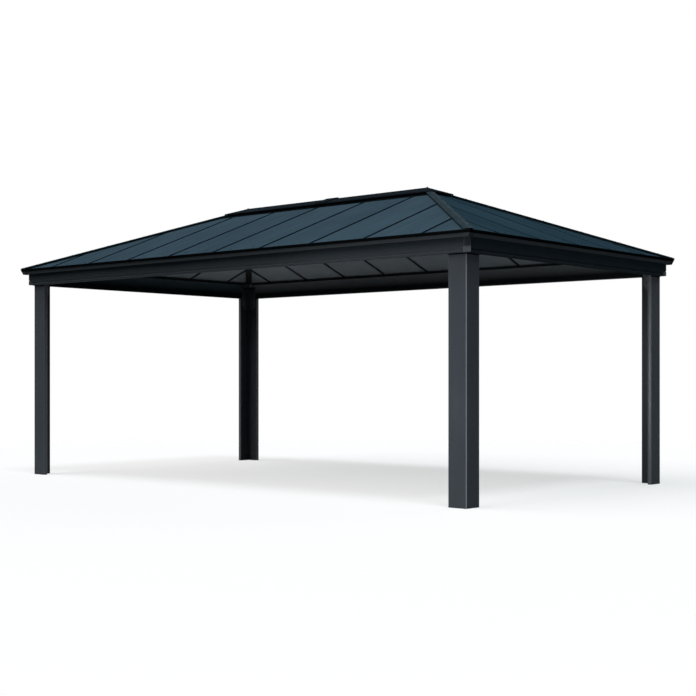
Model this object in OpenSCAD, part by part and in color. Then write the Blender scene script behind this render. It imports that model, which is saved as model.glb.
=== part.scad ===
// Metal gazebo with a hip roof of flat panels on four angle-shaped posts.
// X runs along the long side, -Y is the front, Z is up.
// The origin is on the ground under the middle of the roof.

/* [Roof] */
// Length over the eave rims
roof_l = 6100; // [5400:10:7200]
// Width over the eave rims
roof_w = 3570; // [3200:10:4000]
// Slope of all four sides, in degrees
pitch = 21; // [19:0.1:25]
// Panel bays along the ridge
ridge_bays = 4; // [2:1:8]
// Narrowest panel left at a corner
corner_bay = 200; // [150:10:300]

/* [Posts] */
// Height from the ground to the underside of the beams
post_h = 2100; // [1900:5:2500]
// Width of each leg of the angle
post_leg = 182; // [120:1:240]
// Thickness of a leg
post_t = 42; // [36:1:60]
// Bevel down the outer corner, off each leg
post_bevel = 6; // [4:0.5:12]
// Wall of the hollow legs
post_wall = 3; // [2:0.5:6]
// Plate that closes the foot
foot_t = 12; // [6:1:20]
// Roof edge to the posts' outer faces
overhang = 107; // [95:1:140]

/* [Beams] */
// Underside of the beams to the roof edge
eave_rise = 171; // [164:1:212]
// Width of the box that carries the rafters
box_w = 30; // [24:1:36]
// Wall of the hollow beams
beam_wall = 3; // [2:0.5:5]
// Height of the fascia
fascia_h = 135; // [120:1:138]
// Top of the fascia beyond the posts
fascia_reach = 50; // [44:1:60]
// Foot of the fascia's flat face beyond the posts
face_foot_reach = 47; // [42:1:50]
// Foot of the flat face above the underside
face_foot_h = 65; // [50:1:80]
// Neck over the bead, beyond the posts
neck_reach = 39; // [35:1:42]
// Neck over the bead, above the underside
neck_h = 33; // [28:1:40]
// Radius of the bead along the fascia's foot
bead_r = 12.5; // [9:0.5:14]
// Outermost line of the bead beyond the posts
bead_reach = 41; // [38:1:46]
// Bead below the beams' underside
bead_drop = 3; // [0:0.5:6]
// Face of the corner block, across the mitre
corner_w = 56; // [40:1:66]
// That face beyond the edges of the two fascias
corner_proud = 12; // [4:1:16]
// Plinth of the corner block
corner_plinth_h = 42; // [30:1:50]
// Groove over that plinth
corner_groove_h = 7; // [4:1:12]
// Depth of that groove
corner_groove_d = 6; // [3:1:10]

/* [Panels and rafters] */
// Panel surface below the plane of the rims and hips
panel_drop = 12; // [10:1:18]
// Panel thickness
panel_t = 5; // [3:0.5:8]
// Room between a panel and the bar beside it
panel_gap = 2; // [1:0.5:4]
// Width of a rafter
rafter_w = 22; // [18:1:40]
// Depth of a rafter under the panels
rafter_h = 12; // [10:1:30]
// Wall of the hollow rafters
rafter_wall = 2; // [1.5:0.5:4]
// Bar of the rafter that parts two panels
rafter_bar = 8; // [6:1:10]
// Width of the strip over a seam
seam_w = 30; // [22:1:40]
// Thickness of that strip
seam_t = 4; // [3:0.5:6]

/* [Eave trim] */
// Height of the rim
rim_h = 27; // [24:1:32]
// Flat top of the rim
rim_w = 12; // [8:1:13]
// Solid edge that the panels stop at
trim_edge = 14; // [13:1:20]
// Trim along the slope, over the panels
trim_lap = 34; // [28:1:50]
// Tongue over the panels
tongue_t = 2; // [1.5:0.5:4]
// Lip under the panels
trim_lip = 4; // [3:0.5:6]
// Height of the skirt, down from the roof plane
skirt_h = 60; // [50:1:68]
// Thickness of the skirt
skirt_t = 4; // [3:0.5:6]
// Setback of the skirt under the rim
skirt_set = 5; // [3:1:8]
// Arm of a corner cap along the eave
corner_arm = 75; // [60:1:120]

/* [Hips] */
// Width of a hip rafter
hip_w = 74; // [60:1:90]
// Underside of a hip rafter below the hip line
hip_d = 46; // [42:1:70]
// Bar of the hip rafter that parts the panels
hip_bar = 16; // [10:1:20]
// Wall of the hollow hip rafters
hip_wall = 3; // [2:0.5:5]
// Width of a hip cap along the slopes, both wings
hip_cap_w = 80; // [64:1:96]
// Underside of a hip cap above the roof plane
hip_lift = 7.5; // [4:0.5:10]
// Thickness of a hip cap
hip_cap_t = 3; // [2:0.5:5]

/* [Ridge] */
// Width of the ridge beam
ridge_beam_w = 60; // [50:1:80]
// Depth of the ridge beam
ridge_beam_h = 80; // [70:1:120]
// Wall of the ridge beam
ridge_wall = 4; // [3:0.5:6]
// Half width of the ridge cap, and its reach past the ridge ends
cap_half = 187; // [180:1:230]
// Top of the ridge cap above the line where the hips meet
cap_crown = 8.5; // [6:0.5:14]
// Edge of the ridge cap above the plane of the hips
cap_lift = 15; // [14:1:24]
// Thickness of the ridge cap
cap_t = 4; // [3:0.5:6]
// Lip turned down along the cap's edge
cap_lip = 6; // [3:1:7]
// Half width of the curb under the cap
curb_half = 165; // [140:1:172]
// Thickness of the curb
curb_t = 6; // [4:0.5:10]
// Flashing at the curb's foot on the long slopes, out from the ridge
flash_half = 234; // [220:1:280]
// Thickness of that flashing
flash_t = 3; // [2:0.5:4]
// Panels reach inside the curb
curb_lap = 5; // [3:1:10]
// Width of the joint strip at mid length
joint_w = 160; // [120:5:260]
// Thickness of the joint strip
joint_t = 8; // [4:0.5:10]
// Height of the points at the ridge ends
point_h = 7; // [4:1:20]
// Radius of those points at their foot
point_r = 14; // [8:1:20]

/* [Fits] */
// Room left where one piece stops at another
fit = 0.3; // [0.1:0.1:0.5]

/* [Hidden] */
$fn = 48;
corner_names = ["front_right", "back_right", "back_left", "front_left"];
side_names = ["front", "right", "back", "left"];
corner_nodes = ["post", "beam_corner", "eave_corner", "hip_rafter", "hip_cap"];
side_nodes = ["beam", "eave", "rafters", "panels", "seams"];
ridge_nodes = ["ridge_beam", "vent_curb", "ridge_cap_left", "ridge_cap_right", "ridge_joint"];

post_colour = "#43474e";
beam_colour = "#2b2f34";
trim_colour = "#17191c";
panel_colour = "#33434f";
hip_colour = "#3a4344";

half_l = roof_l / 2;
half_w = roof_w / 2;
ridge_l = roof_l - roof_w;
bay = ridge_l / ridge_bays;
eave_h = post_h + eave_rise;
ridge_h = eave_h + half_w * tan(pitch);
slope_run = half_w / cos(pitch);

// A hip climbs at a lower angle, and across it both slopes fall away by the fold angle
hip_pitch = atan(tan(pitch) / sqrt(2));
hip_run = half_w * sqrt(2) / cos(hip_pitch);
fold = asin(sin(pitch) / sqrt(2));
hip_rise = hip_lift / cos(pitch);

// Depths below the roof plane
panel_floor = panel_drop + panel_t;
rafter_floor = panel_floor + rafter_h;

// The ridge cap is flatter than the roof, so that its edge stands clear of the panels
cap_top = ridge_h + hip_rise + cap_crown;
cap_slope = tan(pitch) - (cap_lift - cap_crown) / cap_half;
cap_rise = cap_t / cos(atan(cap_slope));
cap_foot = cap_top - cap_half * cap_slope - cap_rise - cap_lip;
joint_rise = joint_t / cos(atan(cap_slope));

// Room for cutting blocks beyond what they cut
beyond = 300;

function span(side) = side % 2 == 0 ? roof_l : roof_w;
function setback(side) = side % 2 == 0 ? half_w : half_l;

// Seams are a bay apart from the middle of each slope
function seams(side) =
    let (n = floor((span(side) / 2 - corner_bay) / bay))
    [for (i = [-n : n]) i * bay];

// Half the length of a slope at y along it, less an inset from the hip
function half_at(side, y, inset) =
    span(side) / 2 - y * cos(pitch) - inset * sqrt(1 + pow(cos(pitch), 2));

// In a section across a hip: the height of a plane that lies a depth under the roof
function under_hip(s, depth) = -abs(s) * tan(fold) - depth / cos(fold);

// In the same section: a point out along a slope and a depth under it
function on_wing(out, depth) =
    [out * cos(fold) - depth * sin(fold), -out * sin(fold) - depth * cos(fold)];

// Height of the rafters' underside over the beams' underside, measured inwards from the posts' outer face
function seat_h(inward) =
    eave_rise + (overhang + inward) * tan(pitch) - rafter_floor / cos(pitch);

// Frames: a slope from the middle of its eave, a side from the posts' outer face,
// a corner of the roof, and a hip
module on_slope(side)
    rotate([0, 0, 90 * side])
        translate([0, -setback(side), eave_h])
            rotate([pitch, 0, 0])
                children();

module on_side(side)
    rotate([0, 0, 90 * side])
        translate([0, overhang - setback(side), post_h])
            children();

module at_corner(corner)
    mirror([corner > 1 ? 1 : 0, 0, 0])
        mirror([0, corner == 1 || corner == 2 ? 1 : 0, 0])
            translate([half_l, -half_w, 0])
                children();

module on_hip(corner)
    at_corner(corner)
        translate([0, 0, eave_h])
            rotate([0, 0, 135])
                rotate([0, -hip_pitch, 0])
                    children();

// A profile drawn across, run along X
module along_x(length)
    rotate([90, 0, 90])
        linear_extrude(length)
            children();

// Outline of a slope between two lines along the eave and an inset from its hips
module slope_outline(side, low, high, inset)
    polygon([
        [-half_at(side, low, inset), low],
        [half_at(side, low, inset), low],
        [half_at(side, high, inset), high],
        [-half_at(side, high, inset), high]]);

// Solid with a hipped top along the ridge
module hipped_block(half, slope, top, foot) {
    end = ridge_l / 2 + half;
    edge = top - half * slope;
    intersection() {
        translate([-end, 0, 0])
            along_x(2 * end)
                polygon([[-half, foot], [half, foot], [half, edge], [0, top], [-half, edge]]);
        translate([0, half, 0])
            rotate([90, 0, 0])
                linear_extrude(2 * half)
                    polygon([
                        [-end, foot], [end, foot], [end, edge],
                        [ridge_l / 2, top], [-ridge_l / 2, top], [-end, edge]]);
    }
}

// Slots that the hip rafters, or their bars, take out of a side
module hip_slots(corners, width)
    for (c = corners)
        on_hip(c)
            translate([0, -width / 2, -beyond])
                cube([hip_run, width, 2 * beyond]);

function side_corners(side) = [side, (side + 3) % 4];

module ridge_slot() {
    end = ridge_l / 2 + ridge_beam_w / 2;
    translate([-end, -ridge_beam_w / 2, ridge_h - beyond])
        cube([2 * end, ridge_beam_w, 2 * beyond]);
}

// Posts: an angle with hollow legs and a bevelled outer corner, closed at the foot
function angle_outline(inset) =
    let (leg = post_leg - inset, t = post_t - inset, bevel = inset + post_bevel - inset * (2 - sqrt(2)))
    [[-bevel, inset], [-leg, inset], [-leg, t], [-t, t], [-t, leg], [-inset, leg], [-inset, bevel]];

module post(corner)
    color(post_colour)
        at_corner(corner)
            translate([-overhang, overhang, 0])
                difference() {
                    linear_extrude(post_h)
                        polygon(angle_outline(0));
                    translate([0, 0, foot_t])
                        linear_extrude(post_h)
                            polygon(angle_outline(post_wall));
                }

// Beams: a box under the rafters with a moulded fascia outside, both hollow
module beam_profile() {
    box_in = post_t;
    box_out = post_t - box_w;
    bead_mid = bead_reach - bead_r;
    difference() {
        union() {
            polygon([
                [box_in, 0],
                [box_in, seat_h(box_in)],
                [box_out, seat_h(box_out)],
                [box_out, fascia_h],
                [-fascia_reach, fascia_h],
                [-face_foot_reach, face_foot_h],
                [-neck_reach, neck_h],
                [-bead_mid, 2 * bead_r - bead_drop],
                [-bead_mid, 0]]);
            translate([-bead_mid, bead_r - bead_drop])
                circle(bead_r);
        }
        polygon([
            [box_in - beam_wall, beam_wall],
            [box_in - beam_wall, seat_h(box_in - beam_wall) - beam_wall / cos(pitch)],
            [box_out + beam_wall, seat_h(box_out + beam_wall) - beam_wall / cos(pitch)],
            [box_out + beam_wall, beam_wall]]);
        polygon([
            [box_out, beam_wall],
            [box_out, fascia_h - beam_wall],
            [beam_wall - fascia_reach, fascia_h - beam_wall],
            [beam_wall - face_foot_reach, face_foot_h],
            [beam_wall - neck_reach, neck_h + beam_wall],
            [beam_wall - bead_mid, 2 * bead_r - bead_drop + beam_wall],
            [beam_wall - bead_mid, beam_wall]]);
    }
}

// Mitres at both ends, on the lines of the hips
module mitred(side, depth)
    intersection() {
        children();
        translate([0, -overhang, -beyond])
            linear_extrude(3 * beyond)
                polygon([
                    [-span(side) / 2, 0], [span(side) / 2, 0],
                    [span(side) / 2 - depth, depth], [depth - span(side) / 2, depth]]);
    }

// Space of a corner block, from the post's outer corner outwards
module corner_space(corner)
    at_corner(corner)
        translate([-overhang, overhang, post_h - bead_drop])
            rotate([0, 0, -45])
                translate([0, -corner_w / 2, -beyond])
                    cube([beyond, corner_w, 3 * beyond]);

module beam(side)
    color(beam_colour)
        difference() {
            on_side(side)
                mitred(side, beyond)
                    translate([-span(side) / 2, 0, 0])
                        along_x(span(side))
                            beam_profile();
            for (c = side_corners(side)) {
                corner_space(c);
                on_hip(c)
                    translate([0, -hip_w / 2, -hip_d])
                        cube([hip_run, hip_w, beyond]);
            }
        }

module beam_corner(corner) {
    face = sqrt(2) * fascia_reach - corner_w / 2 + corner_proud;
    groove = face - corner_groove_d;
    groove_top = corner_plinth_h + corner_groove_h;
    color(beam_colour)
        at_corner(corner)
            translate([-overhang, overhang, post_h])
                rotate([0, 0, -45])
                    translate([0, corner_w / 2, 0])
                        rotate([90, 0, 0])
                            linear_extrude(corner_w)
                                polygon([
                                    [0, 0], [face, 0], [face, corner_plinth_h],
                                    [groove, corner_plinth_h], [groove, groove_top],
                                    [face, groove_top], [face, fascia_h], [0, fascia_h]]);
}

// Eave trim: a rim, a slot that holds the panels' lower edge, and a skirt with the foot given
module trim_profile(foot) {
    slot_top = panel_drop - fit;
    slot_foot = panel_floor;
    lip = slot_foot + trim_lip;
    polygon(concat(
        [
            [0, 0], [rim_w, 0],
            [trim_lap, tongue_t - slot_top], [trim_lap, -slot_top],
            [trim_edge, -slot_top], [trim_edge, -slot_foot],
            [trim_lap, -slot_foot], [trim_lap, -lip],
            [skirt_set + skirt_t, -lip], [skirt_set + skirt_t, -skirt_h]],
        foot));
}

module eave(side) {
    length = span(side) - 2 * corner_arm;
    color(trim_colour)
        on_slope(side)
            translate([-length / 2, 0, 0])
                along_x(length)
                    trim_profile([[skirt_set, -skirt_h], [skirt_set, -rim_h], [0, -rim_h]]);
}

// Corner cap: two arms of the trim with a full-height face, mitred on the hip,
// and a plug that closes the hip cap's end
module corner_cap_arm()
    intersection() {
        translate([0, 0, eave_h])
            rotate([pitch, 0, 0])
                translate([-corner_arm, 0, 0])
                    along_x(corner_arm)
                        trim_profile([[0, -skirt_h]]);
        linear_extrude(eave_h + beyond)
            polygon([[0, 0], [-beyond, beyond], [-beyond, 0]]);
    }

module hip_plug(corner) {
    out = hip_cap_w / 2 - hip_cap_t - fit;
    root = rim_h / 2;
    foot = on_wing(out, root);
    top = on_wing(out, -hip_lift);
    intersection() {
        on_hip(corner)
            along_x(hip_run)
                polygon([
                    [0, under_hip(0, root)], foot, top, [0, under_hip(0, -hip_lift)],
                    [-top.x, top.y], [-foot.x, foot.y]]);
        difference() {
            inside_corner(corner, rim_w / 2);
            inside_corner(corner, rim_w * cos(pitch) - fit);
        }
    }
}

module eave_corner(corner)
    color(trim_colour)
        union() {
            at_corner(corner) {
                corner_cap_arm();
                mirror([1, 1, 0])
                    corner_cap_arm();
            }
            hip_plug(corner);
        }

// Rafters: a small box under each seam, with a bar that parts the panels
module rafter_profile()
    difference() {
        union() {
            translate([-rafter_w / 2, -rafter_floor])
                square([rafter_w, rafter_h]);
            translate([-rafter_bar / 2, -panel_floor - rafter_wall])
                square([rafter_bar, panel_t + rafter_wall]);
        }
        translate([rafter_wall - rafter_w / 2, rafter_wall - rafter_floor])
            square([rafter_w - 2 * rafter_wall, rafter_h - 2 * rafter_wall]);
    }

module rafters(side)
    color(trim_colour)
        difference() {
            on_slope(side)
                for (x = seams(side)) {
                    top = min(slope_run, half_at(side, 0, 0) / cos(pitch) - abs(x) / cos(pitch));
                    translate([x, top, 0])
                        rotate([90, 0, 0])
                            linear_extrude(top - trim_lap)
                                rafter_profile();
                }
            hip_slots(side_corners(side), hip_w);
            ridge_slot();
        }

// Panels: one flat sheet to a bay, from the eave's slot to the curb and the hip bars
module panels(side) {
    low = trim_edge + fit;
    high = (half_w - curb_half + curb_t + curb_lap) / cos(pitch);
    inset = (hip_bar / 2 + panel_gap + panel_floor * sin(fold)) / cos(fold);
    lines = concat([-span(side) / 2], seams(side), [span(side) / 2]);
    side_room = rafter_bar / 2 + panel_gap;
    color(panel_colour)
        on_slope(side)
            for (i = [0 : len(lines) - 2])
                translate([0, 0, -panel_floor])
                    linear_extrude(panel_t)
                        intersection() {
                            slope_outline(side, low, high, inset);
                            translate([lines[i] + side_room, 0])
                                square([lines[i + 1] - lines[i] - 2 * side_room, slope_run]);
                        }
}

// Seam strips: over the panels' edges, from the eave's tongue to the flashing, the curb or the hip cap
module seams_over(side) {
    low = trim_lap + fit;
    high = (half_w - (side % 2 == 0 ? flash_half : curb_half) - panel_drop * sin(pitch)) / cos(pitch) - fit;
    color(trim_colour)
        on_slope(side)
            for (x = seams(side))
                translate([0, 0, -panel_drop])
                    linear_extrude(seam_t)
                        intersection() {
                            slope_outline(side, low, high, hip_cap_w / 2 + fit);
                            translate([x - seam_w / 2, 0])
                                square([seam_w, slope_run]);
                        }
}

// Hip rafter: a box with sloping shoulders under the panels and a bar between them, up to the hip cap
module hip_rafter_profile() {
    w = hip_w / 2;
    b = hip_bar / 2;
    h = w - hip_wall;
    roof = panel_floor + hip_wall;
    difference() {
        polygon([
            [-w, -hip_d], [w, -hip_d],
            [w, under_hip(w, panel_floor)], [b, under_hip(b, panel_floor)],
            [b, under_hip(b, -hip_lift)], [0, under_hip(0, -hip_lift)], [-b, under_hip(b, -hip_lift)],
            [-b, under_hip(b, panel_floor)], [-w, under_hip(w, panel_floor)]]);
        polygon([
            [-h, hip_wall - hip_d], [h, hip_wall - hip_d],
            [h, under_hip(h, roof)], [0, under_hip(0, roof)], [-h, under_hip(h, roof)]]);
    }
}

module hip_rafter(corner) {
    foot = trim_lap * cos(pitch) + (panel_floor + trim_lip) * sin(pitch) + fit;
    color(trim_colour)
        difference() {
            intersection() {
                on_hip(corner)
                    along_x(hip_run)
                        hip_rafter_profile();
                inside_corner(corner, foot);
            }
            ridge_slot();
        }
}

// Hip cap: two wings over the roof plane out to the eaves, with lips down to the rims and on to the panels
module hip_cap_wings() {
    w = hip_cap_w / 2;
    top = -hip_lift - hip_cap_t;
    upper = on_wing(w, top);
    lower = on_wing(w, -hip_lift);
    polygon([
        [0, under_hip(0, top)], upper, lower, [0, under_hip(0, -hip_lift)],
        [-lower.x, lower.y], [-upper.x, upper.y]]);
}

module hip_cap_lips(depth) {
    out = hip_cap_w / 2;
    back = out - hip_cap_t;
    top = -hip_lift - hip_cap_t;
    lip = [on_wing(out, top), on_wing(out, depth), on_wing(back, depth), on_wing(back, top)];
    for (sign = [-1, 1])
        polygon([for (p = lip) [sign * p.x, p.y]]);
}

// What lies inside the roof's corner, a distance in from both eaves
module inside_corner(corner, distance)
    at_corner(corner)
        translate([-half_l, distance, 0])
            cube([half_l - distance, half_w - distance, ridge_h + beyond]);

module hip_cap(corner) {
    foot = trim_lap * cos(pitch) + panel_drop * sin(pitch) + fit;
    end = curb_half + fit;
    color(hip_colour)
        difference() {
            union() {
                intersection() {
                    on_hip(corner)
                        along_x(hip_run) {
                            hip_cap_wings();
                            hip_cap_lips(0);
                        }
                    inside_corner(corner, 0);
                }
                intersection() {
                    on_hip(corner)
                        along_x(hip_run)
                            hip_cap_lips(panel_drop);
                    inside_corner(corner, foot);
                }
            }
            translate([-ridge_l / 2 - end, -end, 0])
                cube([ridge_l + 2 * end, 2 * end, ridge_h + beyond]);
        }
}

// Ridge beam: hollow, with a top that the ridge cap lies on
module ridge_beam() {
    w = ridge_beam_w / 2;
    top = cap_top - cap_rise;
    foot = top - ridge_beam_h;
    end = ridge_l / 2 + w;
    color(trim_colour)
        difference() {
            hipped_block(w, cap_slope, top, foot);
            translate([-end, ridge_wall - w, foot + ridge_wall])
                cube([2 * end, 2 * (w - ridge_wall), ridge_beam_h - w * cap_slope - 2 * ridge_wall]);
        }
}

// Curb: stands on the panels round the vent, carries the cap's edge and has a flashing on the long slopes
module curb_wall()
    difference() {
        hipped_block(curb_half, cap_slope, cap_top - cap_rise, eave_h);
        hipped_block(curb_half - curb_t, 0, ridge_h + beyond, 0);
        hipped_block(2 * curb_half, tan(pitch), ridge_h - panel_drop / cos(pitch), 0);
        hip_slots([0 : 3], hip_bar + 2 * fit);
    }

module curb_flashing(side) {
    edge = half_w - panel_drop * sin(pitch);
    on_slope(side)
        translate([0, 0, -panel_drop])
            linear_extrude(flash_t)
                slope_outline(
                    side, (edge - flash_half) / cos(pitch), (edge - curb_half + curb_t / 2) / cos(pitch),
                    hip_cap_w / 2 + fit);
}

module vent_curb()
    color(trim_colour)
        union() {
            curb_wall();
            curb_flashing(0);
            curb_flashing(2);
        }

module cap_shell()
    difference() {
        hipped_block(cap_half, cap_slope, cap_top, cap_foot);
        hipped_block(cap_half - cap_t, cap_slope, cap_top - cap_rise, cap_foot - beyond);
    }

// Ridge cap: two halves that meet under the joint strip, each with a point at its end
module ridge_cap(sign) {
    end = ridge_l / 2 + cap_half;
    color(trim_colour)
        union() {
            intersection() {
                cap_shell();
                translate([sign > 0 ? 0 : -end, -cap_half, 0])
                    cube([end, 2 * cap_half, ridge_h + beyond]);
            }
            translate([sign * ridge_l / 2, 0, cap_top - cap_rise])
                cylinder(h = point_h + cap_rise, r1 = point_r, r2 = point_r / 8);
        }
}

module ridge_joint() {
    out = cap_half + joint_t;
    edge = cap_top - cap_half * cap_slope;
    color(trim_colour)
        translate([-joint_w / 2, 0, 0])
            along_x(joint_w)
                difference() {
                    polygon([
                        [-out, cap_foot], [out, cap_foot],
                        [out, edge + joint_rise], [0, cap_top + joint_rise], [-out, edge + joint_rise]]);
                    polygon([
                        [-cap_half, cap_foot - joint_t], [cap_half, cap_foot - joint_t],
                        [cap_half, edge], [0, cap_top], [-cap_half, edge]]);
                }
}

for (c = [0 : 3]) {
    post(c);
    beam_corner(c);
    eave_corner(c);
    hip_rafter(c);
    hip_cap(c);
}
for (s = [0 : 3]) {
    beam(s);
    eave(s);
    rafters(s);
    panels(s);
    seams_over(s);
}
ridge_beam();
vent_curb();
ridge_cap(-1);  // ridge_cap_left
ridge_cap(1);  // ridge_cap_right
ridge_joint();
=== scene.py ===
import math

import bmesh
import bpy
from mathutils import Matrix, Vector


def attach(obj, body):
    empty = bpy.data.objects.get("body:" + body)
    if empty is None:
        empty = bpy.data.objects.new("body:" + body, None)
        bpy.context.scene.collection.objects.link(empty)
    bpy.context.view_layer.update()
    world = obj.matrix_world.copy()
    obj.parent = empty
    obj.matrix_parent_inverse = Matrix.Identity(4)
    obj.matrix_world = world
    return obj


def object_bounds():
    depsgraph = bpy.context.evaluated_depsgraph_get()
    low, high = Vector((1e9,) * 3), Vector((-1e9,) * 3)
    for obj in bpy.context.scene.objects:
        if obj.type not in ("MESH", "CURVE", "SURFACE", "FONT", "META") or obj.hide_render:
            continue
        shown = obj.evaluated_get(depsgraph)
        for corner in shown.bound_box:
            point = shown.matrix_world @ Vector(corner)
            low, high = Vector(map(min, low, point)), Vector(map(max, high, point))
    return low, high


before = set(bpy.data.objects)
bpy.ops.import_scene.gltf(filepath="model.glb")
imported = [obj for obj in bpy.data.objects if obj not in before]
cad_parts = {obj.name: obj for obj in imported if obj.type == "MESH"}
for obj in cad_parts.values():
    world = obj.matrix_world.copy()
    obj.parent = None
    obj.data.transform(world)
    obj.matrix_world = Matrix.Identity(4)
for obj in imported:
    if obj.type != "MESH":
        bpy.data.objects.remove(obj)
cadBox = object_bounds()
scene = bpy.context.scene
scene.view_settings.view_transform = "Standard"
print("frame loaded:", len(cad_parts), "nodes")

sides = ("front", "right", "back", "left")
corners = ("front_right", "back_right", "back_left", "front_left")
cornerSigns = ((1, -1), (1, 1), (-1, 1), (-1, -1))

# the roof's own sizes, in metres, as the solids have them; skirtFade is how far above the rim's foot
# the eave trim's tone starts to change and is done
roof = {
    "halfL": cadBox[1][0],
    "halfW": cadBox[1][1],
    "pitch": math.radians(21),
    "eaveH": 2.271,
    "bay": 0.6325,
    "rimH": 0.027,
    "panelDrop": 0.012,
    "seamT": 0.004,
    "hipTop": 0.0105,
    "skirtFade": (0.0015, 0.0005),
}

# lengths up a slope from eave to ridge, and along a hip
roof["slopeRun"] = roof["halfW"] / math.cos(roof["pitch"])
roof["hipRun"] = math.hypot(roof["slopeRun"], roof["halfW"])

# the posts stand back from the roof's edge by the overhang
post = {"overhang": 0.107, "leg": 0.182, "thick": 0.042, "bevel": 0.006}


# shader helpers

def putNode(tree, kind, at, inputs=None, **settings):
    node = tree.nodes.new(kind)
    node.location = at
    for key, value in settings.items():
        setattr(node, key, value)
    for key, value in (inputs or {}).items():
        if isinstance(value, bpy.types.NodeSocket):
            tree.links.new(value, node.inputs[key])
        else:
            node.inputs[key].default_value = value
    return node


def mathNode(tree, operation, at, a, b=0.0, c=0.0, clamp=False):
    node = putNode(
        tree, "ShaderNodeMath", at, {0: a, 1: b, 2: c}, operation=operation, use_clamp=clamp)
    return node.outputs[0]


# the Mix node takes colours on its sockets 6 and 7, and gives one on its output 2
def mixColour(tree, at, factor, a, b):
    node = putNode(tree, "ShaderNodeMix", at, {"Factor": factor, 6: a, 7: b}, data_type="RGBA")
    return node.outputs[2]


def rampRange(tree, at, value, low, high, toLow=0.0, toHigh=1.0):
    node = putNode(
        tree, "ShaderNodeMapRange", at,
        {"Value": value, "From Min": low, "From Max": high, "To Min": toLow, "To Max": toHigh})
    return node.outputs[0]


def newGroup(name, inputs, outputs):
    tree = bpy.data.node_groups.new(name, "ShaderNodeTree")
    for label, kind, value in inputs:
        socket = tree.interface.new_socket(label, in_out="INPUT", socket_type=kind)
        socket.default_value = value
    for label, kind in outputs:
        tree.interface.new_socket(label, in_out="OUTPUT", socket_type=kind)
    given = putNode(tree, "NodeGroupInput", (-900, 0)).outputs
    return tree, given, putNode(tree, "NodeGroupOutput", (700, 0)).inputs


def useGroup(tree, group, at, **inputs):
    node = tree.nodes.new("ShaderNodeGroup")
    node.node_tree = group
    node.location = at
    for key, value in inputs.items():
        node.inputs[key].default_value = value
    return node.outputs


# powder coat: fine orange peel for the bump, soft clouds for tone and small flecks for gloss
coatSetup = {
    "peelScale": 420.0, "peelDetail": 2.0, "peelRoughness": 0.5,
    "cloudScale": 2.2, "cloudDetail": 5.0, "cloudRoughness": 0.6, "cloudRange": (0.32, 0.68),
    "fleckScale": 90.0, "fleckDetail": 3.0, "fleckRoughness": 0.7, "fleckRange": (0.35, 0.65),
}


def makePowderCoat(setup):
    tree, given, out = newGroup(
        "powderCoat",
        [("PeelScale", "NodeSocketFloat", setup["peelScale"]),
         ("CloudScale", "NodeSocketFloat", setup["cloudScale"])],
        [("Peel", "NodeSocketFloat"), ("Clouds", "NodeSocketFloat"), ("Fleck", "NodeSocketFloat")])
    place = putNode(tree, "ShaderNodeTexCoord", (-700, 200)).outputs["Object"]
    peel = putNode(tree, "ShaderNodeTexNoise", (-400, 300), {
        "Vector": place, "Scale": given["PeelScale"],
        "Detail": setup["peelDetail"], "Roughness": setup["peelRoughness"]}).outputs[0]
    clouds = putNode(tree, "ShaderNodeTexNoise", (-400, 0), {
        "Vector": place, "Scale": given["CloudScale"],
        "Detail": setup["cloudDetail"], "Roughness": setup["cloudRoughness"]}).outputs[0]
    fleck = putNode(tree, "ShaderNodeTexNoise", (-400, -300), {
        "Vector": place, "Scale": setup["fleckScale"],
        "Detail": setup["fleckDetail"], "Roughness": setup["fleckRoughness"]}).outputs[0]
    tree.links.new(peel, out["Peel"])
    tree.links.new(rampRange(tree, (0, 0), clouds, *setup["cloudRange"]), out["Clouds"])
    tree.links.new(rampRange(tree, (0, -300), fleck, *setup["fleckRange"]), out["Fleck"])
    return tree


# paint lighter where a surface turns an edge: partly worn paint, partly a painted highlight for the
# light that rounded edges catch
wearAndGlintSetup = {"radius": 0.004, "reach": 0.12, "samples": 4}


def makeEdgeWearAndGlint(setup):
    tree, given, out = newGroup(
        "edgeWearAndGlint",
        [("Radius", "NodeSocketFloat", setup["radius"]), ("Reach", "NodeSocketFloat", setup["reach"])],
        [("Edge", "NodeSocketFloat")])
    surface = putNode(tree, "ShaderNodeNewGeometry", (-700, 200)).outputs["Normal"]
    rounded = putNode(
        tree, "ShaderNodeBevel", (-700, -100), {"Radius": given["Radius"]}, samples=setup["samples"])
    turn = putNode(
        tree, "ShaderNodeVectorMath", (-400, 100), {0: surface, 1: rounded.outputs[0]},
        operation="DOT_PRODUCT")
    bend = mathNode(tree, "SUBTRACT", (-200, 100), 1.0, turn.outputs["Value"])
    edge = mathNode(tree, "DIVIDE", (100, 100), bend, given["Reach"], clamp=True)
    tree.links.new(edge, out["Edge"])
    return tree


# water marks that run down a wall, and dust that gathers low
rainSetup = {
    "across": 38.0, "along": 0.8, "detail": 3.0, "roughness": 0.55, "markRange": (0.48, 0.74),
    "dustRange": (0.5, 0.0),
}


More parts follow.
